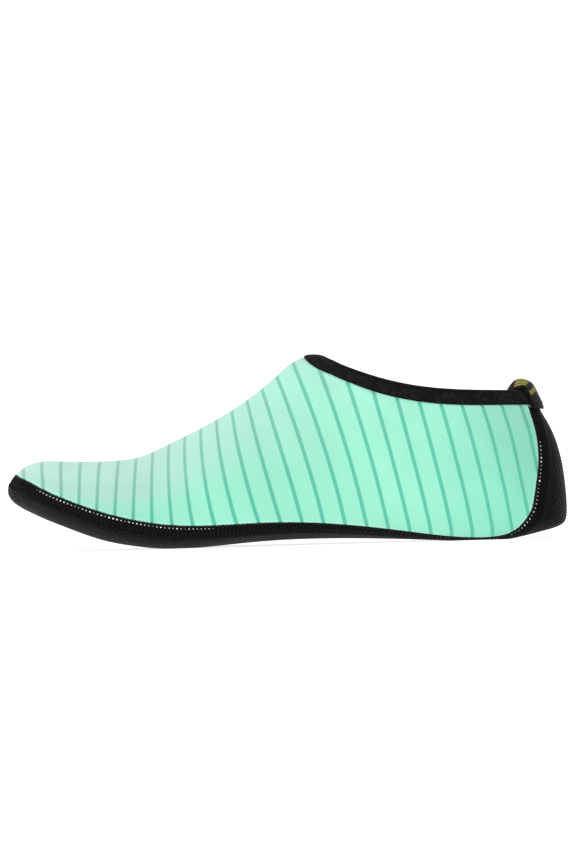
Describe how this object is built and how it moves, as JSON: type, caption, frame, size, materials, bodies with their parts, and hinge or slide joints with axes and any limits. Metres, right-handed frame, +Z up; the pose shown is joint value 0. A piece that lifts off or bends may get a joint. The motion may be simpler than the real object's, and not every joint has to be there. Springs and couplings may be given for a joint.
{
  "type": "water shoe",
  "caption": "Low slip-on water shoe with a stretch fabric upper, black flatlock seam band, bound collar, heel pull tab and thin rubber sole that wraps toe and heel.",
  "frame": {"origin": "the middle of the flat spot under the heel, on the floor plane", "axes": "-X toward the toe, +X toward the heel, -Y toward the inner side of the foot, +Y toward the outer side, +Z up"},
  "size_m": [0.245, 0.0947, 0.0832],
  "materials": {
    "upper_fabric": "smooth stretch knit over foam, mint with thin teal stripes",
    "sole_rubber": "matte black, finely textured",
    "band_thread": "black flatlock thread with pale dots",
    "binding_knit": "soft brushed black knit",
    "insole_foam": "dark grey fabric over thin foam",
    "tab_ribbon": "woven black ribbon with plain yellow bars"
  },
  "bodies": {
    "root": {"upper": "upper_fabric", "outsole": "sole_rubber", "seam_band": "band_thread", "collar_binding": "binding_knit", "insole": "insole_foam", "pull_tab": "tab_ribbon"}
  },
  "joints": []
}
